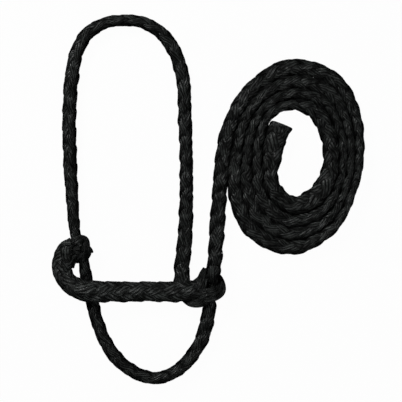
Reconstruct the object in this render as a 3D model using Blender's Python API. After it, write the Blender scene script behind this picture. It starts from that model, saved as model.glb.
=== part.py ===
"""Rope halter for small stock, laid out flat on the surface it rests on.

One length of hollow-braided rope makes the whole halter. Its first end is doubled back inside itself
to make the thick noseband, with an eye at each end of it. The rope then runs as the crown, slides
through the left eye, passes under the noseband, hangs as the chin loop, slides through the right eye
and becomes the lead, which lies in an oval coil.

Frame: metres, +Z up, +Y from the chin loop towards the poll, +X from the left eye towards the right
eye. The origin is on the resting surface, under the middle of the halter's box.
"""

import math

import bmesh
import bpy
from mathutils import Vector
from mathutils.geometry import interpolate_bezier

MM = 0.001
GAP = 0.3  # clearance between two stretches that touch, in millimetres like every size below

# Rope sizes, all radii
CHEEK_RADIUS = 5.3
POLL_RADIUS = 4.6
LEFT_PASS_RADIUS = 4.2
CHIN_RADIUS = 5.1
BOW_RADIUS = 4.7
RIGHT_PASS_RADIUS = 4.9
LEAD_RADIUS = 5.8
COIL_ENTRY_RADIUS = 4.1
COIL_ENTRY_GAP = 2 * GAP  # the lead ends square, and the coil starts at a slant
NECK_LEAN_CLEARANCE = 1.8  # the neck comes down to the bend at a slope, so its top edge stands nearer
END_SPLICE_RADIUS = 6.7
END_NECK_RADIUS = 4.2
NOSEBAND_RADIUS = 8.1
NOSEBAND_START_RADIUS = 4.6
BRAID_WALL = 2.2
CORE_CLEARANCE = 0.9  # room for the flats of the braid wall and of the tail
CORE_RADIUS = NOSEBAND_RADIUS - BRAID_WALL - CORE_CLEARANCE
CORE_INSET = 18.0  # from each end of the noseband to the tail buried inside it
TAIL_RADIUS = 2.6
TAIL_TIP_RADIUS = 1.2
TUCK_RADIUS = 3.2
TUCK_END_RADIUS = 2.4

# Tubes: distance between rings, and sides of a ring as Blender counts them (4 + 2 * resolution)
RING_STEP = 11.0
NOSEBAND_RING_STEP = 8.0
GENTLE_RING_STEP = 7.0  # in the left eye and the end splice
TIGHT_RING_STEP = 6.0  # in the right eye and where the lead comes out of it
TAIL_RING_STEP = 3.0
TIP_RING_STEP = 1.0
TUBE_RESOLUTION = 3
FOOT_RINGS = 4
FOOT_ANGLE = math.radians(84.0)  # a foot's last ring stops short of its pole and is capped flat
TAPER_LENGTH = 22.0
SQUARE_END = 1.0  # length of the first and last run, which sets a flat end square to the curve

# The crown's rope: out of the noseband's right end, over the poll, down to the left eye
CROWN_ROUTE = [
    (-20.6, -60.0, 5.6), (-19.6, -45.5, 5.4), (-17.8, -20.0, 5.4), (-17.2, 8.0, 5.4),
    (-17.2, 38.0, 5.4), (-18.2, 71.0, 5.4), (-19.3, 98.0, 5.4), (-23.1, 114.5, 4.7),
    (-35.0, 132.0, 4.6), (-51.0, 141.6, 4.6), (-67.8, 143.0, 4.6), (-84.1, 139.4, 4.6),
    (-96.4, 131.6, 4.6), (-105.4, 118.0, 4.7), (-109.2, 98.0, 5.4), (-110.9, 71.0, 5.4),
    (-110.0, 38.0, 5.4), (-108.7, 12.0, 5.4), (-107.3, -6.0, 6.0), (-105.6, -22.6, 9.8),
]

# Through the left eye and under the noseband
LEFT_PASS_ROUTE = [
    (-104.2, -30.5, 12.2), (-102.2, -38.5, 11.2), (-100.0, -47.0, 7.4), (-98.2, -54.5, 5.2),
    (-96.4, -63.0, 4.6), (-94.4, -73.0, 4.6), (-92.2, -83.0, 4.9),
]

# The chin loop, from the left foot round the bow to the right foot
CHIN_ROUTE = [
    (-89.7, -92.5, 5.2), (-86.6, -101.5, 5.1), (-81.6, -113.0, 5.1), (-73.8, -126.0, 5.0),
    (-61.0, -137.8, 4.8), (-43.5, -143.4, 4.8), (-27.0, -137.0, 4.8), (-14.2, -124.8, 5.0),
    (-6.6, -112.4, 5.1), (-2.0, -101.5, 5.2), (0.2, -92.5, 5.5),
]

# Through the right eye
RIGHT_PASS_ROUTE = [
    (1.2, -85.5, 5.8), (1.9, -78.5, 8.0), (2.6, -70.0, 11.8), (3.4, -62.5, 13.6),
    (4.2, -56.0, 12.2),
]

# The lead, from the right eye to the start of the coil
LEAD_ROUTE = [
    (4.9, -49.5, 8.8), (5.5, -43.0, 6.6), (6.2, -36.0, 5.9), (7.7, -20.0, 5.8),
    (9.3, 0.0, 5.8), (10.5, 16.0, 5.8), (12.2, 30.8, 6.2),
]

# The last stretch, from the coil's inside to the fused tip
END_ROUTE = [
    (58.4, 2.4, 6.9), (54.8, 10.5, 6.9), (52.3, 21.0, 6.9), (51.7, 33.0, 6.9),
    (53.4, 42.5, 6.9), (56.6, 51.0, 6.9), (61.0, 58.8, 6.9),
]
SPLICE_START = 3.0
TIP_LENGTH = 3.2
TIP_RADIUS = 5.0

# The noseband: from the left eye round over the chin's rope, then straight to the right eye
NOSEBAND_ROUTE = [
    (-115.0, -42.8, 10.8), (-116.9, -47.0, 10.2), (-118.0, -53.5, 10.0), (-115.6, -60.5, 11.2),
    (-110.6, -66.9, 13.8), (-103.6, -71.3, 16.8), (-94.4, -73.4, 18.6), (-84.0, -73.9, 15.0),
    (-74.0, -73.9, 10.8), (-63.0, -73.9, 8.6), (-48.0, -73.9, 8.25), (-22.6, -73.8, 8.3),
    (-11.2, -73.4, 9.8),
]

# Eyes: an oval ring of strand, tilted so that the rope lies over its low side and under its high side
EYE_SLOPE = math.radians(40.0)
EYE_POINTS = 24
LEFT_EYE_CENTRE = (-102.2, -38.8, 11.4)
LEFT_EYE_SIZE = (8.2, 11.8)  # half width across the rope, half length up the slope
LEFT_EYE_STRAND = 3.1
LEFT_EYE_TAIL = [(-90.2, -52.5, 3.0), (-89.9, -47.0, 3.1), (-89.2, -41.0, 3.4)]
RIGHT_EYE_CENTRE = (2.6, -70.0, 12.2)
RIGHT_EYE_SIZE = (9.4, 12.8)
RIGHT_EYE_STRAND = 3.6
RIGHT_EYE_TAIL = [(-9.0, -84.4, 8.2), (-13.5, -85.4, 6.0), (-20.5, -85.6, 3.8)]

# Where moving stretches meet, each read as the nearest place on its route
CROWN_CUT_Y = 98.0
CHIN_CUT_LEFT = (-73.8, -126.0)
CHIN_CUT_RIGHT = (-14.2, -124.8)
NECK_START = (4.45, -53.6)
LIFT_PIVOT = (6.2, -36.0, 5.9)
SWING_PIVOT = (7.7, -20.0, 5.8)

# The coil: an oval spiral wound clockwise and inwards from the lead
COIL_CENTRE = (68.2, 30.8)
COIL_CENTRE_DRIFT = (0.96, 0.56)  # per turn
COIL_HALF_SIZE = (56.0, 77.6)
COIL_PITCH = (8.3, 10.7)  # distance between neighbouring turns at the sides and at the ends
COIL_HALF_STRAND = (4.2, 5.9)  # the rope stands on edge at the sides and lies flatter at the ends
COIL_TURNS = 3.85
COIL_HEIGHT = 12.8
COIL_STEPS = 40  # points in a turn
COIL_LEVELS = [(0.0, 3.0), (0.12, 0.9), (0.32, 0.0), (0.68, 0.0), (0.88, 0.9), (1.0, 3.0)]

COIL_SHARP_ANGLE = math.radians(40.0)  # steeper edges than this stay sharp in the shading

JOINT_MARKER_SIZE = 10.0

BLACK_ROPE = (0.016, 0.016, 0.018)
FUSED_ROPE = (0.010, 0.010, 0.011)
ROPE_ROUGHNESS = 0.5
BURIED_ROUGHNESS = 0.6
FUSED_ROUGHNESS = 0.35


def material(name, colour, roughness):
    """A plain material in the rope's own colour."""
    made = bpy.data.materials.new(name)
    made.use_nodes = True
    shader = made.node_tree.nodes["Principled BSDF"]
    shader.inputs["Base Color"].default_value = (*colour, 1.0)
    shader.inputs["Roughness"].default_value = roughness
    shader.inputs["Metallic"].default_value = 0.0
    made.diffuse_color = (*colour, 1.0)
    return made


def add_object(name, data, parent=None):
    """Links an object, with its origin on its parent joint."""
    made = bpy.data.objects.new(name, data)
    bpy.context.scene.collection.objects.link(made)
    made.parent = parent
    return made


def add_joint(name, at, parent=None):
    """An empty on a joint's axis; "at" is in millimetres in the halter's frame."""
    empty = add_object(name, None, parent)
    empty.empty_display_size = JOINT_MARKER_SIZE * MM
    empty.location = Vector(at) * MM - place_of(parent)
    return empty


def place_of(empty):
    """World position of a joint's empty, all of which stand unrotated."""
    place = Vector((0.0, 0.0, 0.0))
    while empty is not None:
        place += empty.location
        empty = empty.parent
    return place


def smooth_route(points, step=1.0):
    """Points about a step apart on a smooth curve through the route's own points."""
    knots = [Vector(p) for p in points]
    before = knots[0] * 2 - knots[1]
    after = knots[-1] * 2 - knots[-2]
    padded = [before, *knots, after]
    curve = []
    for i in range(1, len(padded) - 2):
        start, end = padded[i], padded[i + 1]
        span = (end - start).length
        into = (end - padded[i - 1]).normalized() * span / 3
        out = (padded[i + 2] - start).normalized() * span / 3
        count = max(2, round(span / step))
        curve += interpolate_bezier(start, start + into, end - out, end, count + 1)[:-1]
    return [*curve, knots[-1]]


def lengths_along(curve):
    """Distance from the start of the curve to each of its points."""
    total = [0.0]
    for a, b in zip(curve, curve[1:]):
        total.append(total[-1] + (b - a).length)
    return total


def place_on(curve, target):
    """Distance along the curve of its point nearest to the target, seen from above."""
    along = lengths_along(curve)
    wanted = Vector(target[:2])
    nearest = min(range(len(curve)), key=lambda i: (curve[i].xy - wanted).length)
    return along[nearest]


def point_at(curve, distance):
    """The point at this distance along the curve."""
    along = lengths_along(curve)
    for i in range(1, len(curve)):
        if along[i] >= distance:
            share = (distance - along[i - 1]) / (along[i] - along[i - 1])
            return curve[i - 1].lerp(curve[i], share)
    return curve[-1].copy()


def stretch(curve, start, end, step=RING_STEP):
    """Points between two distances along the curve, with a short run at each end to square it off."""
    first, last = start + SQUARE_END, end - SQUARE_END
    count = max(2, math.ceil((last - first) / step))
    inner = [point_at(curve, first + (last - first) * i / count) for i in range(count + 1)]
    return [point_at(curve, start), *inner, point_at(curve, end)]


def tapered(points, start_radius, radius, end_radius):
    """Pairs each point with its radius, which eases from an end's own radius to the stretch's."""
    along = lengths_along(points)
    reach = min(TAPER_LENGTH, along[-1] / 2)
    rings = []
    for place, distance in zip(points, along):
        from_start = math.sin(min(1.0, distance / reach) * math.pi / 2)
        from_end = math.sin(min(1.0, (along[-1] - distance) / reach) * math.pi / 2)
        start_change = (start_radius - radius) * (1.0 - from_start)
        end_change = (end_radius - radius) * (1.0 - from_end)
        rings.append((place, radius + start_change + end_change))
    return rings


def rounded_foot(end_ring, next_ring):
    """Rings of a half-round foot beyond the end ring, for a stretch that turns about it."""
    place, radius = end_ring
    outward = (place - next_ring[0]).normalized()
    foot = []
    for i in range(FOOT_RINGS, 0, -1):
        angle = FOOT_ANGLE * i / FOOT_RINGS
        foot.append((place + outward * radius * math.sin(angle), radius * math.cos(angle)))
    return foot


def rope_tube(name, points, radius, look, parent=None, start_foot=False, end_foot=False,
              start_radius=None, end_radius=None):
    """A tube along the points, with round feet where the stretch turns on its neighbour."""
    rings = tapered(points, start_radius or radius, radius, end_radius or radius)
    before = rounded_foot(rings[0], rings[1]) if start_foot else []
    after = rounded_foot(rings[-1], rings[-2])[::-1] if end_foot else []
    rings = [*before, *rings, *after]
    curve = bpy.data.curves.new(name, "CURVE")
    curve.dimensions = "3D"
    curve.bevel_depth = radius * MM
    curve.bevel_resolution = TUBE_RESOLUTION
    curve.use_fill_caps = True
    spline = curve.splines.new("POLY")
    spline.points.add(len(rings) - 1)
    origin = place_of(parent)
    for target, (place, ring_radius) in zip(spline.points, rings):
        target.co = (*(place * MM - origin), 1.0)
        target.radius = ring_radius / radius
    spline.use_smooth = True
    curve.materials.append(look)
    return add_object(name, curve, parent)


def make_noseband(look, core_look):
    """The hollow braid, open at both ends, and the rope's own tail buried inside it."""
    curve = smooth_route(NOSEBAND_ROUTE)
    length = lengths_along(curve)[-1]
    points = stretch(curve, 0.0, length, step=NOSEBAND_RING_STEP)
    sleeve = rope_tube("noseband_sleeve", points, NOSEBAND_RADIUS, look,
                       start_radius=NOSEBAND_START_RADIUS)
    sleeve.data.use_fill_caps = False
    wall = sleeve.modifiers.new("braid wall", "SOLIDIFY")
    wall.thickness = BRAID_WALL * MM
    wall.offset = -1.0
    wall.use_rim = True
    inside = stretch(curve, CORE_INSET, length - CORE_INSET, step=NOSEBAND_RING_STEP)
    rope_tube("noseband_core", inside, CORE_RADIUS, core_look)


def make_eye(name, centre, size, strand, look):
    """A closed oval ring of strand, low on the side away from the chin."""
    half_width, half_length = size
    curve = bpy.data.curves.new(name, "CURVE")
    curve.dimensions = "3D"
    curve.bevel_depth = strand * MM
    curve.bevel_resolution = TUBE_RESOLUTION
    spline = curve.splines.new("POLY")
    spline.points.add(EYE_POINTS - 1)
    spline.use_cyclic_u = True
    for i, target in enumerate(spline.points):
        angle = math.tau * i / EYE_POINTS
        up_slope = half_length * math.sin(angle)
        place = Vector(centre) + Vector((
            half_width * math.cos(angle),
            -up_slope * math.cos(EYE_SLOPE),
            up_slope * math.sin(EYE_SLOPE),
        ))
        target.co = (*(place * MM), 1.0)
    spline.use_smooth = True
    curve.materials.append(look)
    return add_object(name, curve)


def make_eyes(look):
    """Both eyes and the strand ends that stick out of them."""
    make_eye("left_eye", LEFT_EYE_CENTRE, LEFT_EYE_SIZE, LEFT_EYE_STRAND, look)
    tail = smooth_route(LEFT_EYE_TAIL, step=TAIL_RING_STEP)
    rope_tube("left_eye_tail", tail, TAIL_RADIUS, look, end_radius=TAIL_TIP_RADIUS)
    make_eye("right_eye", RIGHT_EYE_CENTRE, RIGHT_EYE_SIZE, RIGHT_EYE_STRAND, look)
    tuck = smooth_route(RIGHT_EYE_TAIL, step=TAIL_RING_STEP)
    rope_tube("right_eye_tail", tuck, TUCK_RADIUS, look,
              start_radius=TUCK_END_RADIUS, end_radius=TUCK_END_RADIUS)


def make_crown(look):
    """Two cheeks that fold up together, and the poll stretch that draws down between them."""
    curve = smooth_route(CROWN_ROUTE)
    end = lengths_along(curve)[-1]
    right_cut = place_on(curve, (CROWN_ROUTE[0][0], CROWN_CUT_Y))
    left_cut = place_on(curve, (CROWN_ROUTE[-1][0], CROWN_CUT_Y))
    fold = add_joint("crown_fold_axis", CROWN_ROUTE[-1])
    draw = add_joint("crown_draw_axis", curve[0].lerp(curve[-1], 0.5), fold)
    right = stretch(curve, 0.0, right_cut - GAP / 2)
    rope_tube("crown_right_cheek", right, CHEEK_RADIUS, look, fold, start_foot=True)
    poll = stretch(curve, right_cut + GAP / 2, left_cut - GAP / 2)
    rope_tube("crown_poll", poll, POLL_RADIUS, look, draw)
    left = stretch(curve, left_cut + GAP / 2, end)
    rope_tube("crown_left_cheek", left, CHEEK_RADIUS, look, fold,
              end_foot=True, end_radius=LEFT_PASS_RADIUS)


def make_passes(look):
    """The stretches of rope inside the eyes, which end flat against their turning neighbours."""
    left = smooth_route([CROWN_ROUTE[-1], *LEFT_PASS_ROUTE, CHIN_ROUTE[0]])
    start = LEFT_PASS_RADIUS + GAP
    end = lengths_along(left)[-1] - CHIN_RADIUS - GAP
    inside = stretch(left, start, end, step=GENTLE_RING_STEP)
    rope_tube("left_eye_pass", inside, LEFT_PASS_RADIUS, look)
    right = smooth_route([CHIN_ROUTE[-1], *RIGHT_PASS_ROUTE, LEAD_ROUTE[0]])
    start = CHIN_RADIUS + GAP
    end = place_on(right, NECK_START) - GAP
    inside = stretch(right, start, end, step=TIGHT_RING_STEP)
    rope_tube("right_eye_pass", inside, RIGHT_PASS_RADIUS, look)


def make_chin(look):
    """The chin loop's two legs, which fold up together, and the bow drawn up between them."""
    curve = smooth_route(CHIN_ROUTE)
    end = lengths_along(curve)[-1]
    left_cut = place_on(curve, CHIN_CUT_LEFT)
    right_cut = place_on(curve, CHIN_CUT_RIGHT)
    fold = add_joint("chin_fold_axis", CHIN_ROUTE[0])
    draw = add_joint("chin_take_up_axis", min(CHIN_ROUTE, key=lambda knot: knot[1]), fold)
    left = stretch(curve, 0.0, left_cut - GAP / 2)
    rope_tube("chin_left_leg", left, CHIN_RADIUS, look, fold, start_foot=True)
    bow = stretch(curve, left_cut + GAP / 2, right_cut - GAP / 2)
    rope_tube("chin_bow", bow, BOW_RADIUS, look, draw)
    right = stretch(curve, right_cut + GAP / 2, end)
    rope_tube("chin_right_leg", right, CHIN_RADIUS, look, fold, end_foot=True)


def make_lead(look):
    """The lead: a neck that slides out of the eye, a bend that lifts, and the run up to the coil."""
    curve = smooth_route([*RIGHT_PASS_ROUTE[-2:], *LEAD_ROUTE])
    end = lengths_along(curve)[-1]
    lift_at = place_on(curve, LIFT_PIVOT)
    swing_at = place_on(curve, SWING_PIVOT)
    clear = LEAD_RADIUS + GAP
    draw = add_joint("lead_draw_axis", LEAD_ROUTE[0])
    lift = add_joint("lead_lift_axis", LIFT_PIVOT, draw)
    swing = add_joint("lead_swing_axis", SWING_PIVOT, lift)
    neck_end = lift_at - clear - NECK_LEAN_CLEARANCE
    neck = stretch(curve, place_on(curve, NECK_START), neck_end, step=TIGHT_RING_STEP)
    rope_tube("lead_neck", neck, LEAD_RADIUS, look, draw, start_radius=RIGHT_PASS_RADIUS)
    bend = stretch(curve, lift_at, swing_at - clear, step=TIGHT_RING_STEP)
    rope_tube("lead_bend", bend, LEAD_RADIUS, look, lift, start_foot=True)
    run = stretch(curve, swing_at, end - COIL_ENTRY_GAP)
    rope_tube("lead_run", run, LEAD_RADIUS, look, swing,
              start_foot=True, end_radius=COIL_ENTRY_RADIUS)
    return swing


def coil_edge(turn, inset, side):
    """A point on a turn's outer edge (side 1) or inner edge (side -1), pulled in by the inset."""
    angle = math.pi - math.tau * turn
    half_x = COIL_HALF_SIZE[0] - COIL_PITCH[0] * turn
    half_y = COIL_HALF_SIZE[1] - COIL_PITCH[1] * turn
    out_x = math.cos(angle) * half_y
    out_y = math.sin(angle) * half_x
    outward = Vector((out_x, out_y)).normalized()
    on_end = abs(outward.y)
    half_strand = COIL_HALF_STRAND[0] * (1.0 - on_end) + COIL_HALF_STRAND[1] * on_end
    centre = Vector((
        COIL_CENTRE[0] + COIL_CENTRE_DRIFT[0] * turn + half_x * math.cos(angle),
        COIL_CENTRE[1] + COIL_CENTRE_DRIFT[1] * turn + half_y * math.sin(angle),
    ))
    return centre + outward * side * (half_strand - inset)


def coil_ring(work, height, inset, origin):
    """One level of the coil's solid: its outer edge with a step at the lead, and its inner edge."""
    last_turn = COIL_TURNS % 1.0
    outer = []
    inner = []
    for i in range(COIL_STEPS + 1):
        place = coil_edge(i / COIL_STEPS, inset, 1.0)
        outer.append(work.verts.new(place.to_3d() * MM + Vector((0, 0, height * MM)) - origin))
    for i in range(COIL_STEPS):
        share = i / COIL_STEPS
        turn = math.floor(COIL_TURNS) + share - (1.0 if share >= last_turn else 0.0)
        place = coil_edge(turn, inset, -1.0)
        inner.append(work.verts.new(place.to_3d() * MM + Vector((0, 0, height * MM)) - origin))
    return outer, inner


def make_coil(look, swing):
    """The coil's outer shape as one solid, with the opening in its middle and a flat underside."""
    work = bmesh.new()
    origin = place_of(swing)
    levels = [coil_ring(work, share * COIL_HEIGHT, inset, origin) for share, inset in COIL_LEVELS]
    for low, high in zip(levels, levels[1:]):
        for loop_low, loop_high in zip(low, high):
            count = len(loop_low)
            for i in range(count):
                j = (i + 1) % count
                work.faces.new((loop_low[i], loop_low[j], loop_high[j], loop_high[i]))
    for outer, inner in (levels[0], levels[-1]):
        for i in range(COIL_STEPS):
            j = (i + 1) % COIL_STEPS
            work.faces.new((outer[i], outer[i + 1], inner[j], inner[i]))
        work.faces.new((outer[COIL_STEPS], outer[0], inner[0]))
    bmesh.ops.recalc_face_normals(work, faces=work.faces)
    mesh = bpy.data.meshes.new("lead_coil")
    work.to_mesh(mesh)
    work.free()
    mesh.shade_smooth()
    mesh.set_sharp_from_angle(angle=COIL_SHARP_ANGLE)
    mesh.materials.append(look)
    add_object("lead_coil", mesh, swing)


def make_lead_end(look, fused_look, swing):
    """The thick back-spliced end inside the coil, and its fused tip."""
    curve = smooth_route(END_ROUTE)
    end = lengths_along(curve)[-1]
    splice = stretch(curve, SPLICE_START, end - TIP_LENGTH - GAP, step=GENTLE_RING_STEP)
    rope_tube("lead_end_splice", splice, END_SPLICE_RADIUS, look, swing, start_radius=END_NECK_RADIUS)
    tip = stretch(curve, end - TIP_LENGTH, end, step=TIP_RING_STEP)
    rope_tube("lead_tip", tip, END_SPLICE_RADIUS, fused_look, swing, end_radius=TIP_RADIUS)


def main():
    for old in list(bpy.data.objects):
        bpy.data.objects.remove(old, do_unlink=True)
    make_noseband(material("noseband braid", BLACK_ROPE, ROPE_ROUGHNESS),
                  material("buried tail", BLACK_ROPE, BURIED_ROUGHNESS))
    make_eyes(material("eye strand", BLACK_ROPE, ROPE_ROUGHNESS))
    make_passes(material("rope in the eyes", BLACK_ROPE, ROPE_ROUGHNESS))
    make_crown(material("crown rope", BLACK_ROPE, ROPE_ROUGHNESS))
    make_chin(material("chin rope", BLACK_ROPE, ROPE_ROUGHNESS))
    lead_look = material("lead rope", BLACK_ROPE, ROPE_ROUGHNESS)
    swing = make_lead(lead_look)
    make_coil(lead_look, swing)
    make_lead_end(lead_look, material("fused end", FUSED_ROPE, FUSED_ROUGHNESS), swing)


main()
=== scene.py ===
import math
from collections import namedtuple

import bpy
import numpy as np
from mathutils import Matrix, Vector


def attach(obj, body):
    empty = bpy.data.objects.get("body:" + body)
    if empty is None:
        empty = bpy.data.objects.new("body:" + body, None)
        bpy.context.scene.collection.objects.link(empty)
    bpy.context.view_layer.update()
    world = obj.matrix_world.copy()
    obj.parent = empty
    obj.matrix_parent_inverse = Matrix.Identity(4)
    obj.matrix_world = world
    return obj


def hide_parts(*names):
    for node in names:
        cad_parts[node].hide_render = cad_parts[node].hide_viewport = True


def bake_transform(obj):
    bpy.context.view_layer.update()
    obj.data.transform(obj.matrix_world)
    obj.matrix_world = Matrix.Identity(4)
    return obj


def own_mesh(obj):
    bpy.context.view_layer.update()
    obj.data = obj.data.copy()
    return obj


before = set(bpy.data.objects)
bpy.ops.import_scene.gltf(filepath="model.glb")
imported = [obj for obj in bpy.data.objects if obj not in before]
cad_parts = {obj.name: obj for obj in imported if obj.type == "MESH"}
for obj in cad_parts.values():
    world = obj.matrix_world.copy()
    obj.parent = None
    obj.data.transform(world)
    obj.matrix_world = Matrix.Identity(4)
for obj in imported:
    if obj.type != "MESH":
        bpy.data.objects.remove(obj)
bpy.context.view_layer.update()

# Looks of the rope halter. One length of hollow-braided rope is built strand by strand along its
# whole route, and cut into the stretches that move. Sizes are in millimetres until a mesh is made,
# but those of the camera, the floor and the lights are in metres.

MM = 0.001
UP = np.array((0.0, 0.0, 1.0))

# ---------------------------------------------------------------- the rope's route
# A knot is x, y, height of the centre, half width seen from above, half height

SIDE_HEIGHT = 4.9  # half height of a stretch lying on the floor


def lying(*places):
    """Knots of a stretch on the floor, from x, y and half width."""
    return [(x, y, SIDE_HEIGHT, half_width, SIDE_HEIGHT) for x, y, half_width in places]


CROWN_ROUTE = [
    (-20.9, -70.0, 7.6, 7.6, 5.4), (-20.7, -63.0, 6.4, 6.3, 5.0),
    *lying(
        (-20.6, -55.0, 5.9), (-19.8, -45.5, 6.1), (-17.6, -20.0, 5.6), (-17.2, 8.0, 5.3),
        (-17.2, 38.0, 5.2), (-18.5, 71.0, 5.3), (-20.0, 98.0, 5.4), (-25.0, 115.0, 5.4),
        (-35.8, 131.5, 5.1), (-51.0, 141.3, 4.7), (-67.8, 143.3, 4.3), (-84.6, 140.3, 4.4),
        (-97.0, 131.8, 5.0), (-104.8, 118.0, 5.3), (-108.7, 98.0, 5.4), (-110.7, 71.0, 5.5),
        (-110.3, 38.0, 5.3), (-109.3, 12.0, 5.1),
    ),
    (-107.8, -6.0, 5.4, 4.7, 4.6), (-105.9, -22.6, 9.4, 4.1, 4.2),
]
LEFT_PASS_ROUTE = [
    (-104.2, -30.5, 12.0, 4.0, 4.0), (-102.0, -38.5, 11.2, 4.0, 3.9), (-99.2, -47.0, 7.4, 3.8, 3.9),
    (-98.4, -54.5, 5.0, 4.2, 3.9), (-97.3, -63.0, 4.2, 4.9, 3.9), (-94.8, -73.0, 4.2, 5.0, 3.9),
    (-91.9, -83.0, 4.6, 4.8, 4.3),
]
CHIN_ROUTE = lying(
    (-89.9, -92.8, 4.9), (-87.0, -101.9, 4.9), (-82.0, -113.4, 5.0), (-73.6, -126.0, 5.1),
    (-60.8, -136.9, 4.9), (-43.5, -143.0, 4.8), (-26.3, -137.8, 4.9), (-13.0, -125.7, 5.1),
    (-5.5, -112.7, 5.4), (-1.6, -101.7, 5.6), (0.4, -92.5, 5.5),
)
RIGHT_PASS_ROUTE = [
    (1.3, -85.5, 5.2, 5.2, 4.7), (1.8, -78.5, 5.2, 4.8, 4.4), (2.4, -71.0, 5.0, 4.6, 4.2),
    (3.2, -65.5, 6.8, 4.6, 4.2), (4.0, -60.5, 11.0, 5.0, 4.5), (4.6, -56.0, 12.2, 5.5, 4.8),
]
LEAD_ROUTE = [
    (5.2, -49.5, 10.2, 5.6, 5.0), (5.9, -43.0, 7.6, 5.6, 5.0), (6.6, -36.0, 5.8, 5.7, 5.0),
    *lying((7.7, -20.0, 6.1), (9.1, 0.0, 5.7), (10.4, 17.0, 6.0)),
]

# The coil, wound clockwise and inwards from the lead. Each row is one direction from its middle, a
# twelfth of a turn after the last, starting at the left: how far out lie the outer edge of the first
# turn, the creases between the turns, and the inner edge of the last.
COIL_MIDDLE = (67.4, 34.0)
COIL_EDGES = (
    (60.8, 49.4, 39.6, 32.0, 24.4), (61.6, 50.0, 41.6, 34.4, 26.6), (68.8, 57.0, 48.4, 41.2, 34.6),
    (78.0, 65.6, 55.2, 45.6, 38.2), (75.4, 65.2, 54.6, 46.6, 34.0), (63.4, 54.8, 47.2, 40.4, 27.2),
    (56.8, 49.8, 44.0, 37.6, 25.4), (58.2, 52.4, 45.6, 40.4, 26.0), (68.8, 61.8, 52.4, 44.8, 29.4),
    (77.8, 66.6, 56.4, 45.2, 31.8), (71.9, 60.2, 49.8, 36.8, 23.6), (58.0, 47.4, 36.8, 26.4, 14.2),
)
COIL_TURNS = 4
COIL_PRESS = 0.35  # neighbouring turns press into each other by this
COIL_SECTION = 25.0  # half width times half height of the single rope
COIL_ON_EDGE = 6.1  # most it stands up where its neighbours press it narrow
SPLICE_TURN = 3.29  # where the rope's end has been pushed back inside it, and swells it
SPLICE_HEIGHT = 6.2
END_ROUTE = [
    (50.2, 27.5, 6.2, 7.1, 6.2), (51.6, 38.5, 6.2, 8.5, 6.2), (53.6, 47.5, 6.2, 8.9, 6.2),
    (57.0, 57.0, 6.2, 8.9, 6.0),
]

# The noseband: doubled rope, from the left eye round over the rope and along to the right eye
NOSEBAND_ROUTE = [
    (-106.6, -34.6, 14.4, 4.8, 3.8), (-110.8, -38.0, 13.0, 6.2, 4.8), (-114.4, -44.8, 11.4, 7.4, 6.0),
    (-116.0, -53.0, 10.2, 7.9, 6.9), (-114.6, -60.0, 11.2, 7.6, 7.2), (-110.2, -65.4, 13.6, 7.5, 7.2),
    (-103.8, -69.4, 16.2, 7.8, 7.2), (-95.2, -72.0, 17.4, 8.3, 7.4), (-84.5, -72.8, 15.0, 8.2, 7.5),
    (-74.0, -73.3, 11.0, 8.0, 7.5), (-62.0, -73.4, 8.4, 7.9, 7.5), (-42.0, -73.3, 8.0, 7.9, 7.5),
    (-22.6, -73.4, 8.2, 7.9, 7.5), (-13.0, -73.0, 8.8, 7.2, 7.2), (-6.0, -71.8, 9.6, 6.0, 6.4),
]

# ---------------------------------------------------------------- the braid
# One kind of braid: the length of a strand's full turn, the seed of its irregularities, how far a
# strand lifts over another and dips under it, a strand's thickness, the painted light on the flanks
# and underside as a share of the top's (painted shade there), and the spacing of its rings of corners
Braid = namedtuple("Braid", "pitch seed rise thickness flank_dust ring_step")
ROPE_BRAID = Braid(pitch=88.0, seed=100, rise=1.15, thickness=2.3, flank_dust=0.0, ring_step=1.9)
NOSEBAND_BRAID = Braid(pitch=84.0, seed=500, rise=1.15, thickness=2.3, flank_dust=0.6, ring_step=1.9)
TAIL_BRAID = Braid(pitch=60.0, seed=560, rise=0.5, thickness=1.4, flank_dust=0.0, ring_step=2.5)

STRANDS_EACH_WAY = 6
STRAND_FILL = 1.3  # strand width over its share of the rope's girth
OVER_FILL = 0.10  # share of its width that a strand gains where it rides over
WEAVE_LIMIT = 1.1  # most of its rise that a strand reaches, which flattens its crests
EDGE_STAND = 0.5  # bumps stand this far outside the rope's mean outline
FLOOR_CLEARANCE = 0.45
LEAST_GIRTH = 1.2  # the rope's edge counts as no sharper than this
BOW_LIMITS = (0.05, 0.30)  # least and most curvature of a strand's face
SECTION_POINTS = 10
SECTION_ROUNDNESS = 0.72
SECTION_GIRTH = 2.2  # a strand's girth over its width
FIBRE_SHIFT = 17.3  # moves each strand to fibres of its own
SUNKEN_PAINTED_LIGHT = 0.85  # painted light where a strand dips under another, as a share of where it rides over: painted shade in the dip
PAINTED_LIGHT_SLOPE = 1.5  # how fast the painted light grows from the shaded flanks to the top
PAINTED_LIGHT_START = 0.2  # and how much of that growth passes before it shows
CORE_SHARE = 0.78  # size of the plain tube inside a braid, over the braid's own
CORE_SIDES = 12
CORE_RADIUS = 4.0  # the radius that its fibres are spread over

WAVES = (61.0, 37.0, 23.0, 14.5)  # lengths of the slow irregularities along a rope
WAVE_WEIGHTS = (0.4, 1.0)  # least and most of each length
LINE_STRAY = 0.5  # size of the irregularities in the rope's line and in its half width
GIRTH_STRAY = 0.35
TWIST_STRAY = 0.12  # and in a strand's angle in radians, and its lift, width and body as shares
LIFT_STRAY = 0.25
WIDTH_STRAY = 0.16
BODY_STRAY = 0.16
STRAND_SEEDS = 10  # the first strand's seed, counted from its rope's
LIFT_SEEDS = 30  # and the seeds of its lift, width and body, counted from its own
WIDTH_SEEDS = 60
BODY_SEEDS = 90

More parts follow.
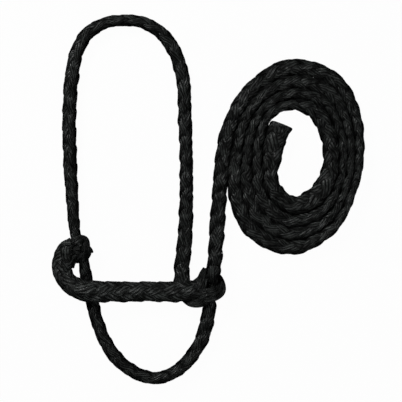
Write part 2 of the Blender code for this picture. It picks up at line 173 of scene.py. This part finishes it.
BUNDLE_RING_STEP = 1.14
BUNDLE_THICKNESS = 3.0  # most thickness of a strand, which is never more than its width
BUNDLE_FILL = 1.35  # strand width over its share of the bundle's width
BUNDLE_DROP = 0.6  # every other strand lies this much lower
BUNDLE_LEAN = 0.5  # how far the outer strands turn their faces to the sides
BUNDLE_BOW = 0.06
BUNDLE_LINE_STRAY = 0.10
BUNDLE_BODY_STRAY = 0.15
BUNDLE_BODY_SEEDS = 40

CURVE_STEP = 1.0


def distances(points):
    """Distance along a curve to each of its points."""
    return np.concatenate(([0.0], np.cumsum(np.linalg.norm(np.diff(points[:, :3], axis=0), axis=1))))


def smooth(knots):
    """A smooth curve through the knots, with its points a step apart."""
    knots = np.array(knots, float)
    chord = distances(knots)
    slopes = np.gradient(knots, chord, axis=0)
    at = np.linspace(0.0, chord[-1], round(chord[-1] / CURVE_STEP) + 1)
    low = np.clip(np.searchsorted(chord, at, side="right") - 1, 0, len(chord) - 2)
    span = (chord[low + 1] - chord[low])[:, None]
    u = (at - chord[low])[:, None] / span
    return (
        (2 * u**3 - 3 * u**2 + 1) * knots[low]
        + (u**3 - 2 * u**2 + u) * span * slopes[low]
        + (3 * u**2 - 2 * u**3) * knots[low + 1]
        + (u**3 - u**2) * span * slopes[low + 1]
    )


def even(points, start, end, step):
    """The curve between two distances, at even steps, with the distance as a last column."""
    along = distances(points)
    at = np.linspace(start, end, max(3, round((end - start) / step) + 1))
    columns = [np.interp(at, along, points[:, k]) for k in range(points.shape[1])]
    return np.column_stack([*columns, at])


def unit(vectors):
    """The vectors, each scaled to a length of 1."""
    return vectors / np.linalg.norm(vectors, axis=-1, keepdims=True)


def wave(along, seed, size):
    """A slow irregularity, the same for every stretch cut from one rope."""
    rng = np.random.default_rng(seed)
    total = np.zeros_like(along)
    for length in WAVES:
        total += np.sin(math.tau * (along / length + rng.random())) * rng.uniform(*WAVE_WEIGHTS)
    return total * size / len(WAVES)


def frames(line):
    """Sideways and upward directions along a curve that never stands upright."""
    forward = unit(np.gradient(line, axis=0))
    sideways = unit(np.cross(UP, forward))
    return sideways, np.cross(forward, sideways)


class Mesh:
    """Vertices, faces, and two sets of surface coordinates gathered for one piece.

    "fibre" runs along and across each strand in metres. "strand" is the place across the strand,
    from -1 to 1, and how much painted light that place gets, from 0 in painted shade to 1.
    """

    def __init__(self):
        self.parts = []
        self.faces = []
        self.fibre = []
        self.strand = []
        self.count = 0

    def add_tube(self, rings, along, across, side, dust):
        """Adds a closed tube of rings (n, m, 3), with the coordinates of its rings and corners."""
        n, m, _ = rings.shape
        first = self.count + np.arange(n * m).reshape(n, m)
        after = np.roll(first, -1, axis=1)
        quads = np.stack([first[:-1], after[:-1], after[1:], first[1:]], axis=-1).reshape(-1, 4)
        self.faces += quads.tolist()
        fibre = np.stack(np.broadcast_arrays(along[:, None], across), axis=-1) * MM
        strand = np.stack(np.broadcast_arrays(side[None, :], dust[:, None]), axis=-1)
        self.add_points(rings.reshape(-1, 3), fibre.reshape(-1, 2), strand.reshape(-1, 2))
        for end, order in ((0, -1), (-1, 1)):
            corners = list(range(self.count, self.count + m))
            self.faces.append(corners)
            self.add_points(rings[end, ::order], fibre[end, ::order], strand[end, ::order])

    def add_points(self, points, fibre, strand):
        """Adds points with their surface coordinates."""
        self.parts.append(points)
        self.fibre.append(fibre)
        self.strand.append(strand)
        self.count += len(points)

    def build(self, name, look):
        """Makes the Blender object."""
        mesh = bpy.data.meshes.new(name)
        mesh.from_pydata((np.concatenate(self.parts) * MM).tolist(), [], self.faces)
        corner = np.empty(len(mesh.loops), dtype=np.int32)
        mesh.loops.foreach_get("vertex_index", corner)
        for layer_name, values in (("fibre", self.fibre), ("strand", self.strand)):
            layer = mesh.uv_layers.new(name=layer_name)
            layer.data.foreach_set("uv", np.concatenate(values)[corner].ravel())
        mesh.shade_smooth()
        mesh.materials.append(look)
        made = bpy.data.objects.new(name, mesh)
        bpy.context.scene.collection.objects.link(made)
        return made


def rounded(values):
    """Squares off a circle's coordinate a little, as a packed bundle of fibre is."""
    return np.sign(values) * np.abs(values) ** SECTION_ROUNDNESS


SECTION_ANGLES = np.linspace(-0.5 * math.pi, 1.5 * math.pi, SECTION_POINTS, endpoint=False)
SECTION_ASIDE = rounded(np.cos(SECTION_ANGLES))
SECTION_ABOVE = rounded(np.sin(SECTION_ANGLES))
SECTION_ROUND = np.arange(SECTION_POINTS) / SECTION_POINTS * SECTION_GIRTH


def add_strand(mesh, line, outward, width, thickness, curvature, along, seed, dust):
    """One flat strand along a line, bowed round the rope by its curvature."""
    forward = unit(np.gradient(line, axis=0))
    normal = unit(outward - forward * np.sum(outward * forward, axis=1, keepdims=True))
    side = np.cross(forward, normal)
    x = SECTION_ASIDE[None, :] * width[:, None] / 2
    y = SECTION_ABOVE[None, :] * thickness[:, None] / 2 - x**2 * curvature[:, None] / 2
    rings = line[:, None, :] + side[:, None, :] * x[:, :, None] + normal[:, None, :] * y[:, :, None]
    across = SECTION_ROUND[None, :] * width[:, None] + seed * FIBRE_SHIFT
    mesh.add_tube(rings, along, across, SECTION_ASIDE, dust)


# The middle of a braid's wall: an upright oval at each place along the rope's own line
Tube = namedtuple("Tube", "line along sideways upward half_width half_height")


def braid_tube(stations, braid):
    """The tube that a braid's strands follow, with the rope's slow irregularities."""
    along = stations[:, 5]
    stray = [wave(along, braid.seed + i, LINE_STRAY) for i in range(2)]
    line = stations[:, :3] + np.column_stack([*stray, np.full_like(along, FLOOR_CLEARANCE)])
    sideways, upward = frames(line)
    wall = braid.thickness / 2 + braid.rise - EDGE_STAND
    half_width = stations[:, 3] - wall + wave(along, braid.seed + 2, GIRTH_STRAY)
    return Tube(line, along, sideways, upward, half_width, stations[:, 4] - wall)


def add_braid_strand(mesh, tube, braid, way, i):
    """A strand that winds one way or the other, and rides over two strands and under two."""
    line, along, sideways, upward, half_width, half_height = tube
    seed = braid.seed + STRAND_SEEDS + i * 2 + (way > 0)
    angle = way * math.tau * along / braid.pitch + math.tau * i / STRANDS_EACH_WAY
    angle = angle + wave(along, seed, TWIST_STRAY)
    cos, sin = np.cos(angle), np.sin(angle)
    weave = way * math.sqrt(2.0) * np.cos(STRANDS_EACH_WAY / 2 * angle - math.pi / 4)
    lift = np.clip(weave, -WEAVE_LIMIT, WEAVE_LIMIT) * braid.rise
    lift = lift * (1 + wave(along, seed + LIFT_SEEDS, LIFT_STRAY))
    outward = unit(sideways * (cos * half_height)[:, None] + upward * (sin * half_width)[:, None])
    place = line + sideways * (cos * half_width)[:, None] + upward * (sin * half_height)[:, None]
    place = place + outward * lift[:, None]

    girth = np.sqrt((half_width * sin) ** 2 + (half_height * cos) ** 2)
    slant = np.cos(np.arctan(math.tau * girth / braid.pitch))
    width = math.tau / STRANDS_EACH_WAY * (girth + braid.rise) * slant
    width = width * STRAND_FILL * (1 + OVER_FILL * weave)
    width = width * (1 + wave(along, seed + WIDTH_SEEDS, WIDTH_STRAY))
    body = braid.thickness * (1 + wave(along, seed + BODY_SEEDS, BODY_STRAY))
    bow = np.clip(half_width * half_height / np.maximum(girth, LEAST_GIRTH) ** 3, *BOW_LIMITS)
    # Painted light and shade: the strand's top is lighter, its flanks and underside darker, and darker
    # still where it dips under another
    dust = braid.flank_dust + (1 - braid.flank_dust) * np.clip(PAINTED_LIGHT_SLOPE * sin - PAINTED_LIGHT_START, 0, 1)
    dust = (SUNKEN_PAINTED_LIGHT + (1 - SUNKEN_PAINTED_LIGHT) * np.clip(weave / 2 + 0.5, 0, 1)) * dust
    add_strand(mesh, place, outward, width, body, bow, along, seed, dust)


def add_core(mesh, tube):
    """A plain tube inside the braid, which closes the gaps between its strands."""
    turn = np.linspace(0, math.tau, CORE_SIDES, endpoint=False)
    aside = (np.cos(turn) * CORE_SHARE)[None, :, None] * tube.half_width[:, None, None]
    above = (np.sin(turn) * CORE_SHARE)[None, :, None] * tube.half_height[:, None, None]
    rings = tube.line[:, None, :] + tube.sideways[:, None, :] * aside + tube.upward[:, None, :] * above
    # The core gets the painted shade of a strand that dips under another
    dust = np.full_like(tube.along, SUNKEN_PAINTED_LIGHT)
    mesh.add_tube(rings, tube.along, turn * CORE_RADIUS, np.sin(turn), dust)


def braided(name, curve, start, end, look, braid=ROPE_BRAID):
    """A stretch of hollow braid between two distances along its curve."""
    mesh = Mesh()
    tube = braid_tube(even(curve, start, end, braid.ring_step), braid)
    for way in (1, -1):
        for i in range(STRANDS_EACH_WAY):
            add_braid_strand(mesh, tube, braid, way, i)
    add_core(mesh, tube)
    return mesh.build(name, look)


# Strands side by side along a route of x, y, z and half width: how many, the seed of their
# irregularities, and how far the outermost ones lie below the middle
Bundle = namedtuple("Bundle", "route count seed arch")


def add_bundle(mesh, bundle):
    """Strands side by side, as where a splice opens the braid out flat."""
    curve = smooth(bundle.route)
    stations = even(curve, 0.0, distances(curve)[-1], BUNDLE_RING_STEP)
    line, half_width, along = stations[:, :3], stations[:, 3], stations[:, 4]
    sideways, upward = frames(line)
    # These strands get full painted light, with no painted shade
    bow, dust = np.full_like(along, BUNDLE_BOW), np.ones_like(along)
    width = 2 * half_width / bundle.count * BUNDLE_FILL
    for i in range(bundle.count):
        seed = bundle.seed + i
        share = (2 * i + 1) / bundle.count - 1
        aside = (share + wave(along, seed, BUNDLE_LINE_STRAY)) * half_width
        below = bundle.arch * share**2 + BUNDLE_DROP * (i % 2)
        place = line + sideways * aside[:, None] - upward * below
        outward = unit(upward + sideways * (share * BUNDLE_LEAN))
        swell = 1 + wave(along, seed + BUNDLE_BODY_SEEDS, BUNDLE_BODY_STRAY)
        body = np.minimum(BUNDLE_THICKNESS, width) * swell
        add_strand(mesh, place, outward, width, body, bow, along, seed, dust)


# ---------------------------------------------------------------- materials
# Noise drawn out along the fibre: its features in a metre along and across, a shift that sets it
# apart, and the values that are read as its least and its most
Noise = namedtuple("Noise", "along across shift low high")
YARN_NOISE = Noise(75.0, 90.0, 3.1, 0.30, 0.70)
CLUMP_NOISE = Noise(150.0, 620.0, 7.7, 0.36, 0.64)
FILAMENT_NOISE = Noise(190.0, 1500.0, 0.0, 0.34, 0.66)

YARN_WAVES = 2.0 * math.pi  # four yarns side by side in a strand
YARN_WANDER = 0.22  # how far the yarns stray, over half the strand's width
YARN_SHAPE = 0.7  # under 1, the yarns are broad, with narrow grooves between them
CLUMP_SHARE = 0.45  # clumps of filaments in the surface; the rest is single filaments
PATCH_SCALE = 170.0  # dusty patches, by their features in a metre
# Ranges: the values read as least and most, and what they become
BODY_RANGE = (0.0, 1.0, 0.0, 1.1)
PATCH_RANGE = (0.34, 0.66, 0.45, 1.45)
PAINTED_LIGHT_RANGE = (0.1, 0.9, 0.15, 1.25)
SHEEN_RANGE = (0.0, 0.6, 0.04, 0.26)
ROUGHNESS_TONES = (0.1, 0.8)
TONE_STOPS = ((0.0, 0.05), (0.4, 0.9), (1.0, 4.2))  # a tone, and its colour over the rope's black
BUMP_HEIGHT = 0.0006


class Nodes:
    """Short calls for the nodes of one material."""

    def __init__(self, name):
        self.material = bpy.data.materials.new(name)
        self.material.use_nodes = True
        self.tree = self.material.node_tree
        self.shader = self.tree.nodes["Principled BSDF"]

    def new(self, kind, **inputs):
        """A node, with its inputs linked from sockets or set to values; "_" stands for a space."""
        node = self.tree.nodes.new(kind)
        for name, value in inputs.items():
            self.feed(node.inputs[name.replace("_", " ")], value)
        return node

    def feed(self, socket, value):
        """Links or sets one input."""
        if isinstance(value, bpy.types.NodeSocket):
            self.tree.links.new(value, socket)
        else:
            socket.default_value = value

    def math(self, operation, *values):
        """The result of a Math node."""
        node = self.tree.nodes.new("ShaderNodeMath")
        node.operation = operation
        for socket, value in zip(node.inputs, values):
            self.feed(socket, value)
        return node.outputs[0]

    def ranged(self, value, low, high, to_low, to_high):
        """The value, read between low and high, spread over another range."""
        node = self.new("ShaderNodeMapRange", Value=value, From_Min=low, From_Max=high,
                        To_Min=to_low, To_Max=to_high)
        return node.outputs["Result"]

    def coordinates(self, layer):
        """One of the piece's sets of surface coordinates."""
        node = self.tree.nodes.new("ShaderNodeUVMap")
        node.uv_map = layer
        return node.outputs["UV"]

    def fibres(self, noise, least, most):
        """Noise drawn out along the fibre, between two values."""
        place = self.new("ShaderNodeMapping", Vector=self.coordinates("fibre"),
                         Scale=(noise.along, noise.across, 1.0),
                         Location=(noise.shift, noise.shift, noise.shift))
        made = self.new("ShaderNodeTexNoise", Vector=place.outputs["Vector"], Scale=1.0, Detail=2.0)
        return self.ranged(made.outputs["Fac"], noise.low, noise.high, least, most)


def fibre_surface(made, across):
    """The height of the surface: yarns side by side, of filaments in clumps."""
    wander = made.fibres(YARN_NOISE, -YARN_WANDER, YARN_WANDER)
    phase = made.math("MULTIPLY", made.math("ADD", across, wander), YARN_WAVES)
    yarn = made.math("POWER", made.math("ABSOLUTE", made.math("COSINE", phase)), YARN_SHAPE)
    clumps = made.math("MULTIPLY", made.fibres(CLUMP_NOISE, 0.0, 1.0), CLUMP_SHARE)
    filaments = made.math("MULTIPLY", made.fibres(FILAMENT_NOISE, 0.0, 1.0), 1.0 - CLUMP_SHARE)
    body = made.ranged(made.math("ADD", clumps, filaments), *BODY_RANGE)
    return made.math("MULTIPLY", yarn, body)


def fibre_look(name, colour, roughness):
    """Black polypropylene: yarns of fine filaments, with painted shade in the grooves between yarns
    and on the flanks and dips, and lighter painted tops.
    """
    made = Nodes(name)
    strand = made.new("ShaderNodeSeparateXYZ", Vector=made.coordinates("strand"))
    surface = fibre_surface(made, strand.outputs["X"])
    position = made.tree.nodes.new("ShaderNodeTexCoord").outputs["Object"]
    noise = made.new("ShaderNodeTexNoise", Vector=position, Scale=PATCH_SCALE, Detail=3.0)
    patches = made.ranged(noise.outputs["Fac"], *PATCH_RANGE)
    # Painted light read from the strand coordinates: lighter tops, painted shade on the flanks, underside
    # and dips
    dust = made.ranged(strand.outputs["Y"], *PAINTED_LIGHT_RANGE)
    # The tone sets the colour: painted shade where the yarn height is low, in the grooves, times the
    # painted light above; the filament noise and the patches are the rope's own random tone
    tone = made.math("MULTIPLY", made.math("MULTIPLY", surface, patches), dust)

    ramp = made.new("ShaderNodeValToRGB", Fac=tone)
    stops = ramp.color_ramp.elements
    stops.new(TONE_STOPS[1][0])
    for stop, (place, strength) in zip(stops, TONE_STOPS):
        stop.position = place
        stop.color = (*(c * strength for c in colour), 1.0)
    bump = made.new("ShaderNodeBump", Height=surface, Strength=1.0, Distance=BUMP_HEIGHT)
    made.feed(made.shader.inputs["Base Color"], ramp.outputs["Color"])
    made.feed(made.shader.inputs["Roughness"], made.ranged(tone, *ROUGHNESS_TONES, *roughness))
    made.feed(made.shader.inputs["Specular IOR Level"], made.ranged(tone, *SHEEN_RANGE))
    made.feed(made.shader.inputs["Normal"], bump.outputs["Normal"])
    return made.material


# ---------------------------------------------------------------- camera, floor and light
CAMERA_CENTRE = (-0.0054, -0.0012)
FRAME_WIDTH = 0.3216
WIDEST_HEIGHT = 0.0055  # most of the rope's outline stands at this height
LENS = 85.0


def make_camera():
    """Straight above the halter, as far off as brings the frame's width of floor into view."""
    data = bpy.data.cameras.new("camera")
    data.lens = LENS
    camera = bpy.data.objects.new("camera", data)
    bpy.context.scene.collection.objects.link(camera)
    camera.location = (*CAMERA_CENTRE, FRAME_WIDTH * LENS / data.sensor_width + WIDEST_HEIGHT)
    bpy.context.scene.camera = camera


WHITE = (1.0, 1.0, 1.0, 1.0)
FLOOR_SIDES = 64
# Radius and height, from the edge of the flat outwards and up
FLOOR_PROFILE = ((3.0, 0.0), (3.8, 0.15), (4.4, 0.6), (4.8, 1.4), (5.0, 2.6), (5.0, 6.0))
FLOOR_COLOUR = (0.02, 0.02, 0.02, 1.0)  # dark under its own even light, so that no shadow shows
FLOOR_LIGHT = 0.975


def make_floor():
    """A plain, evenly lit white floor that curves up into a wall all round."""
    turn = np.linspace(0, math.tau, FLOOR_SIDES, endpoint=False)
    corners, faces = [(0.0, 0.0, 0.0)], []
    for radius, height in FLOOR_PROFILE:
        corners += [(radius * math.cos(t), radius * math.sin(t), height) for t in turn]
    for i in range(FLOOR_SIDES):
        j = (i + 1) % FLOOR_SIDES
        faces.append((0, 1 + i, 1 + j))
        for ring in range(len(FLOOR_PROFILE) - 1):
            low = 1 + ring * FLOOR_SIDES
            faces.append((low + i, low + FLOOR_SIDES + i, low + FLOOR_SIDES + j, low + j))
    mesh = bpy.data.meshes.new("floor")
    mesh.from_pydata(corners, [], faces)
    look = bpy.data.materials.new("floor")
    look.use_nodes = True
    shader = look.node_tree.nodes["Principled BSDF"]
    shader.inputs["Base Color"].default_value = FLOOR_COLOUR
    shader.inputs["Specular IOR Level"].default_value = 0.0
    shader.inputs["Emission Color"].default_value = WHITE
    shader.inputs["Emission Strength"].default_value = FLOOR_LIGHT
    mesh.materials.append(look)
    floor = bpy.data.objects.new("floor", mesh)
    bpy.context.scene.collection.objects.link(floor)
    floor.visible_glossy = False
    floor.visible_diffuse = False


LIGHTS = {  # place, side and power
    "key": ((-0.65, 0.75, 0.80), 0.4, 10.0),
    "fill": ((0.75, -0.65, 0.70), 0.6, 3.5),
}
WORLD_LIGHT = 0.008


def make_light(name, place, side, power):
    """A square soft light aimed at the halter's middle."""
    data = bpy.data.lights.new(name, "AREA")
    data.shape = "SQUARE"
    data.size = side
    data.energy = power
    light = bpy.data.objects.new(name, data)
    bpy.context.scene.collection.objects.link(light)
    light.location = place
    light.rotation_euler = (-Vector(place)).to_track_quat("-Z", "Y").to_euler()


def make_lights():
    """The studio's two soft lights, and a little light from all round."""
    for name, (place, side, power) in LIGHTS.items():
        make_light(name, place, side, power)
    world = bpy.data.worlds.new("studio")
    bpy.context.scene.world = world
    world.use_nodes = True
    backdrop = world.node_tree.nodes["Background"]
    backdrop.inputs["Color"].default_value = WHITE
    backdrop.inputs["Strength"].default_value = WORLD_LIGHT
    bpy.context.scene.view_settings.view_transform = "Standard"


# ---------------------------------------------------------------- the route, put together
def coil_route():
    """Knots of the coil, from the lead round to the inside, a twelfth of a turn apart."""
    directions = len(COIL_EDGES)
    knots = []
    for step in range(COIL_TURNS * directions):
        turn, row = divmod(step, directions)
        outer, inner = COIL_EDGES[row][turn:turn + 2]
        angle = math.pi - math.tau * row / directions
        middle, half_width = (outer + inner) / 2, (outer - inner) / 2 + COIL_PRESS
        half_height = min(COIL_ON_EDGE, COIL_SECTION / half_width)
        if step / directions > SPLICE_TURN:
            half_height = SPLICE_HEIGHT
        knots.append((
            COIL_MIDDLE[0] + middle * math.cos(angle), COIL_MIDDLE[1] + middle * math.sin(angle),
            half_height, half_width, half_height,
        ))
    return knots


ROPE = smooth([
    *CROWN_ROUTE, *LEFT_PASS_ROUTE, *CHIN_ROUTE, *RIGHT_PASS_ROUTE,
    *LEAD_ROUTE, *coil_route(), *END_ROUTE,
])
ROPE_ALONG = distances(ROPE)
NOSEBAND = smooth(NOSEBAND_ROUTE)


def distance_at(x, y):
    """Distance along the rope of its place nearest to a point seen from above."""
    return ROPE_ALONG[np.argmin(np.hypot(ROPE[:, 0] - x, ROPE[:, 1] - y))]


# Where the rope is cut: a name for each place, in order along it
CUTS = {
    "root": 0.0,
    "right_foot": distance_at(-20.0, -49.0),
    "right_top": distance_at(-19.3, 98.0),
    "left_top": distance_at(-109.4, 98.0),
    "left_foot": distance_at(-107.3, -9.0),
    "left_eye": distance_at(-105.4, -27.0),
    "chin_left": distance_at(-91.6, -85.5),
    "chin_left_foot": distance_at(-87.8, -98.0),
    "bow_left": distance_at(-73.5, -126.0),
    "bow_right": distance_at(-14.0, -124.8),
    "chin_right_foot": distance_at(-1.0, -98.0),
    "chin_right": distance_at(1.2, -86.0),
    "neck_start": distance_at(4.8, -54.0),
    "neck_end": distance_at(6.3, -42.0),
    "bend_end": distance_at(7.3, -27.0),
    "lead_start": distance_at(8.2, -12.0),
    "tip": ROPE_ALONG[-1],
}


def cut(name, start, end, look, *nodes):
    """One named stretch of the rope, standing for its CAD nodes."""
    piece = braided(name, ROPE, CUTS[start], CUTS[end], look)
    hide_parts(*nodes)
    return piece


def riding(name, start, end, look, body, *nodes):
    """A stretch that moves with one body."""
    piece = cut(name, start, end, look, *nodes)
    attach(piece, body)
    return piece


def bending(name, start, end, look, node):
    """A stretch that stays still, with its place baked into its mesh."""
    piece = cut(name, start, end, look, node)
    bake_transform(piece)
    return piece


def leg(name, foot, head, look, body, node):
    """A stretch from its foot to its head that rides on a body, with a mesh of its own."""
    start, end = sorted((foot, head), key=CUTS.get)
    piece = riding(name, start, end, look, body, node)
    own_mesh(piece)
    return piece


def make_crown(look):
    """From the rope's root over the poll to the left eye, and through that eye."""
    right_foot = bending("crown_right_foot", "root", "right_foot", look,
                         "crown_right_cheek")
    right_cheek = leg("crown_right_cheek_rope", "right_foot", "right_top", look, "crown",
                      "crown_right_cheek")
    poll = riding("crown_poll_rope", "right_top", "left_top", look, "poll", "crown_poll")
    left_cheek = leg("crown_left_cheek_rope", "left_foot", "left_top", look, "crown",
                     "crown_left_cheek")
    left_foot = bending("crown_left_foot", "left_foot", "left_eye", look,
                        "crown_left_cheek")
    left_pass = riding("left_pass_rope", "left_eye", "chin_left", look, "noseband", "left_eye_pass")


def make_chin(look):
    """From the left eye round under the chin to the right eye, and through that eye."""
    left_foot = bending("chin_left_foot", "chin_left", "chin_left_foot", look,
                        "chin_left_leg")
    left_leg = leg("chin_left_rope", "chin_left_foot", "bow_left", look, "chin",
                   "chin_left_leg")
    bow = riding("chin_bow_rope", "bow_left", "bow_right", look, "bow", "chin_bow")
    right_leg = leg("chin_right_rope", "chin_right_foot", "bow_right", look, "chin",
                    "chin_right_leg")
    right_foot = bending("chin_right_foot", "chin_right_foot", "chin_right", look,
                         "chin_right_leg")
    right_pass = riding("right_pass_rope", "chin_right", "neck_start", look, "noseband",
                        "right_eye_pass")


def make_lead(look, tip_look):
    """From the right eye over three short bends, round the coil and to the fused end."""
    neck = bending("lead_neck_rope", "neck_start", "neck_end", look, "lead_neck")
    bend = bending("lead_bend_rope", "neck_end", "bend_end", look, "lead_bend")
    turn = bending("lead_turn_rope", "bend_end", "lead_start", look, "lead_run")
    lead = riding("lead_rope", "lead_start", "tip", look, "lead", "lead_run", "lead_coil",
                  "lead_end_splice")
    tip = make_tip(tip_look)


# ---------------------------------------------------------------- eyes, tails and the fused end
# A knot is x, y, height of the centre and half width seen from above
LEFT_EYE_OVER = [
    (-114.0, -44.4, 12.0, 5.4), (-109.4, -38.8, 15.4, 5.0), (-104.8, -34.8, 17.4, 4.6),
    (-100.8, -32.4, 17.4, 4.2), (-98.4, -32.6, 14.4, 3.8), (-97.2, -35.4, 10.6, 3.2),
    (-97.0, -39.6, 6.4, 2.4),
]
LEFT_EYE_SIDE = [
    (-100.0, -32.0, 10.0, 2.2), (-98.0, -34.0, 15.0, 2.8), (-96.8, -38.4, 15.6, 3.3),
    (-97.0, -42.8, 12.6, 3.2), (-98.0, -46.0, 8.6, 2.6),
]
LEFT_EYE_LOW = [
    (-94.6, -40.8, 10.0, 3.4), (-98.6, -41.8, 14.6, 4.0), (-103.4, -42.8, 15.8, 4.2),
    (-107.4, -45.8, 13.4, 4.4), (-109.6, -50.0, 10.6, 4.2), (-110.6, -54.5, 7.6, 3.6),
]
LEFT_EYE_UNDER = [
    (-113.5, -46.0, 8.5, 4.4), (-107.5, -46.0, 4.4, 4.6), (-101.0, -45.6, 3.2, 4.6),
    (-97.4, -42.6, 5.2, 4.0), (-95.6, -39.4, 10.0, 3.0),
]
LEFT_TUFT = [
    (-97.6, -36.6, 14.5, 2.4), (-95.2, -38.8, 12.0, 2.2), (-93.2, -40.6, 10.0, 1.6),
    (-91.3, -42.2, 8.4, 0.5),
]
CURL_CENTRE = (-103.2, -39.8, 18.6)  # a strand end curled round on top of the left eye
CURL_RADIUS = 1.9
CURL_STEPS = 11
CURL_SLOPE = 0.3  # drop for each radian
CURL_HALF_WIDTH = 1.2
RIGHT_EYE_BACK = [
    (-17.0, -70.0, 10.0, 5.5), (-10.5, -69.6, 10.5, 4.9), (-5.2, -65.6, 9.4, 4.6),
    (-1.8, -60.8, 6.6, 4.0), (3.4, -59.4, 4.6, 2.8), (8.0, -61.6, 6.2, 2.5),
    (10.5, -66.6, 10.0, 3.2), (9.4, -72.0, 14.0, 4.6), (4.2, -74.9, 17.0, 5.2),
    (-2.6, -76.2, 16.6, 5.2), (-8.4, -79.4, 13.0, 5.0), (-13.4, -81.0, 9.0, 4.6),
]
RIGHT_EYE_FAN = [
    (-1.6, -55.0, 6.0, 2.2), (-3.4, -59.4, 10.4, 3.2), (-4.6, -64.0, 13.8, 3.8),
    (-5.6, -69.5, 15.4, 4.2), (-7.4, -74.5, 14.4, 4.4), (-9.4, -79.5, 10.6, 4.2),
]
RIGHT_TUCK = [
    (-1.4, -79.6, 11.4, 3.4), (-6.8, -81.4, 12.4, 3.9), (-12.4, -81.2, 11.4, 3.9),
    (-18.4, -77.8, 8.8, 3.4),
]


def curl_route():
    """Knots of the curled strand end."""
    x, y, z = CURL_CENTRE
    turns = [math.tau * i / CURL_STEPS for i in range(CURL_STEPS)]
    return [
        (x + CURL_RADIUS * math.cos(t), y + CURL_RADIUS * math.sin(t), z - CURL_SLOPE * t, CURL_HALF_WIDTH)
        for t in turns
    ]


def strand_piece(name, look, node, bundles):
    """A piece of side-by-side strands on the noseband."""
    mesh = Mesh()
    for bundle in bundles:
        add_bundle(mesh, bundle)
    piece = mesh.build(name, look)
    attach(piece, "noseband")
    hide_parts(node)


def make_eyes(look):
    """The two eyes, the left one's cut tail and the right one's tucked strand."""
    strand_piece("left_eye_strands", look, "left_eye", [
        Bundle(LEFT_EYE_OVER, 5, seed=300, arch=1.8),
        Bundle(LEFT_EYE_UNDER, 3, seed=320, arch=0.3),
        Bundle(LEFT_EYE_LOW, 4, seed=310, arch=1.5),
        Bundle(LEFT_EYE_SIDE, 3, seed=330, arch=1.2),
        Bundle(curl_route(), 1, seed=335, arch=0.0),
    ])
    strand_piece("left_eye_tuft", look, "left_eye_tail", [Bundle(LEFT_TUFT, 2, seed=340, arch=0.2)])
    strand_piece("right_eye_strands", look, "right_eye", [
        Bundle(RIGHT_EYE_BACK, 5, seed=360, arch=1.8),
        Bundle(RIGHT_EYE_FAN, 4, seed=370, arch=1.0),
    ])
    strand_piece("right_eye_tuck", look, "right_eye_tail", [Bundle(RIGHT_TUCK, 3, seed=380, arch=1.4)])


TAIL_HALF_WIDTH = 3.9
TAIL_INSET = 18.0  # the buried tail stops this far short of the noseband's ends


def make_noseband(look, tail_look):
    """The thick braid, and the rope's own tail buried inside it."""
    length = distances(NOSEBAND)[-1]
    sleeve = braided("noseband_braid", NOSEBAND, 0.0, length, look, NOSEBAND_BRAID)
    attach(sleeve, "noseband")
    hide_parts("noseband_sleeve")
    slim = NOSEBAND.copy()
    slim[:, 3:5] = TAIL_HALF_WIDTH
    core = braided("noseband_tail", slim, TAIL_INSET, length - TAIL_INSET, tail_look, TAIL_BRAID)
    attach(core, "noseband")
    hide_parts("noseband_core")


TIP_SIDES = 28
# Distance past the rope's end, and size there over the tip's own
TIP_RINGS = ((-2.0, 0.90), (0.0, 0.99), (1.6, 1.04), (2.8, 1.05), (3.5, 0.97), (3.8, 0.80))
TIP_HALF_WIDTH = 7.7
TIP_HALF_HEIGHT = 5.6
TIP_HEADING_STEPS = 3  # the tip points along the last of the rope, over this many points
TIP_RAGGEDNESS = 0.05
TIP_SEED = 9
TIP_CORNER = 0.22  # how far the corner is drawn out, and the angle that it spreads over
TIP_CORNER_SPREAD = 0.35
TIP_FIBRE_RADIUS = 7.0


def make_tip(look):
    """The cut end, melted to a blunt, flared face with one corner drawn out."""
    centre = ROPE[-1, :3]
    forward = unit(centre - ROPE[-1 - TIP_HEADING_STEPS, :3])
    sideways = unit(np.cross(UP, forward))
    turn = np.linspace(0, math.tau, TIP_SIDES, endpoint=False)
    rng = np.random.default_rng(TIP_SEED)
    ragged = 1 + TIP_RAGGEDNESS * rng.standard_normal(TIP_SIDES)
    corner = 1.0 + TIP_CORNER * np.exp(-((np.abs(turn - math.pi)) / TIP_CORNER_SPREAD) ** 2)
    rings = []
    for ahead, size in TIP_RINGS:
        across = rounded(np.cos(turn)) * TIP_HALF_WIDTH * size * ragged * corner
        high = rounded(np.sin(turn)) * TIP_HALF_HEIGHT * size * ragged
        rings.append(centre + forward * ahead + sideways * across[:, None] + UP * high[:, None])
    along = np.array([ahead for ahead, _ in TIP_RINGS])
    mesh = Mesh()
    mesh.add_tube(np.array(rings), along, turn * TIP_FIBRE_RADIUS, np.zeros_like(turn), np.ones_like(along))
    tip = mesh.build("fused_tip", look)
    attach(tip, "lead")
    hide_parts("lead_tip")
    return tip


ROPE_BLACK = (0.0120, 0.0132, 0.0126)
NOSEBAND_BLACK = (0.0170, 0.0187, 0.0179)
FUSED_BLACK = (0.0100, 0.0105, 0.0105)
# Roughness in the crevices, and on the worn highs
ROPE_ROUGHNESS = (0.66, 0.30)
FUSED_ROUGHNESS = (0.55, 0.30)
BURIED_ROUGHNESS = (0.65, 0.45)


def main():
    """The camera and the cords, and then the rest of the halter, the floor and the lights."""
    make_camera()
    rope_look = fibre_look("rope fibre", ROPE_BLACK, ROPE_ROUGHNESS)
    make_crown(rope_look)
    make_chin(rope_look)
    make_lead(rope_look, fibre_look("fused fibre", FUSED_BLACK, FUSED_ROUGHNESS))
    make_noseband(
        fibre_look("noseband fibre", NOSEBAND_BLACK, ROPE_ROUGHNESS),
        fibre_look("buried tail fibre", ROPE_BLACK, BURIED_ROUGHNESS),
    )
    make_eyes(fibre_look("eye strand fibre", ROPE_BLACK, ROPE_ROUGHNESS))
    make_floor()
    make_lights()


main()
